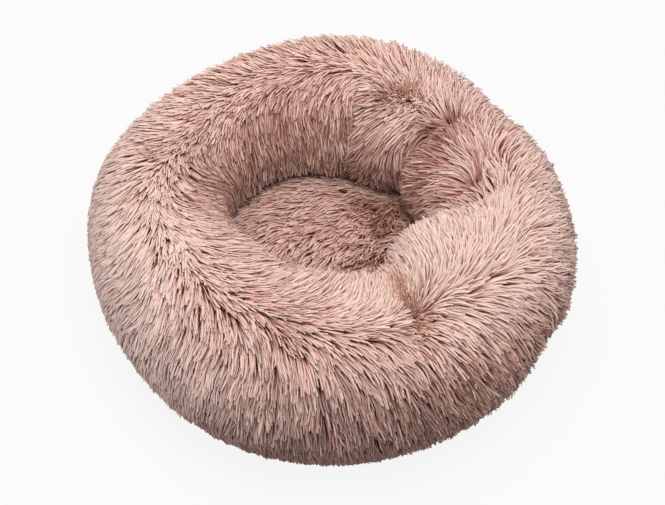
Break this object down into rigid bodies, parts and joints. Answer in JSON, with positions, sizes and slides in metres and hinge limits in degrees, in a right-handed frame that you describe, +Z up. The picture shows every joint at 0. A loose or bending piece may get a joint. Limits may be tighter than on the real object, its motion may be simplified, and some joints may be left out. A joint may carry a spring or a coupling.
{
  "type": "donut pet bed",
  "caption": "Round stuffed pet bed: a long-pile ring wall folded softly round a crowned nest cushion, on a zipped non-slip base.",
  "frame": {"origin": "middle of the footprint on the floor", "axes": "+Z up, front towards -Y, the zip along X with its closed end at +X"},
  "size_m": [0.4906, 0.4876, 0.1785],
  "materials": {
    "pile": "long combed pile, pale tips over brown roots",
    "fill": "matt fibre wadding",
    "base_cloth": "matt woven cloth with grip dots",
    "zip_tape": "woven tape with moulded teeth",
    "zip_metal": "satin"
  },
  "bodies": {
    "bed": {"outer_wall_panel": "pile", "inner_wall_panel": "pile", "cushion_top_panel": "pile", "bolster_fill": "fill", "cushion_fill": "fill", "base_panel_front": "base_cloth", "base_panel_rear": "base_cloth", "zip_tape_front": "zip_tape", "zip_tape_rear": "zip_tape", "zip_top_stop_front": "zip_metal", "zip_top_stop_rear": "zip_metal", "zip_bottom_stop": "zip_metal"},
    "slider": {"zip_slider": "zip_metal"},
    "pull": {"zip_pull": "zip_metal"}
  },
  "joints": [
    {"name": "zip_slide", "type": "slide", "parent": "bed", "child": "slider", "axis": [1, 0, 0], "range_m": [-0.208, 0]},
    {"name": "pull_flip", "type": "hinge", "parent": "slider", "child": "pull", "pos_m": [0.104, 0, 0.00239], "axis": [0, -1, 0], "range_deg": [0, 170]}
  ]
}
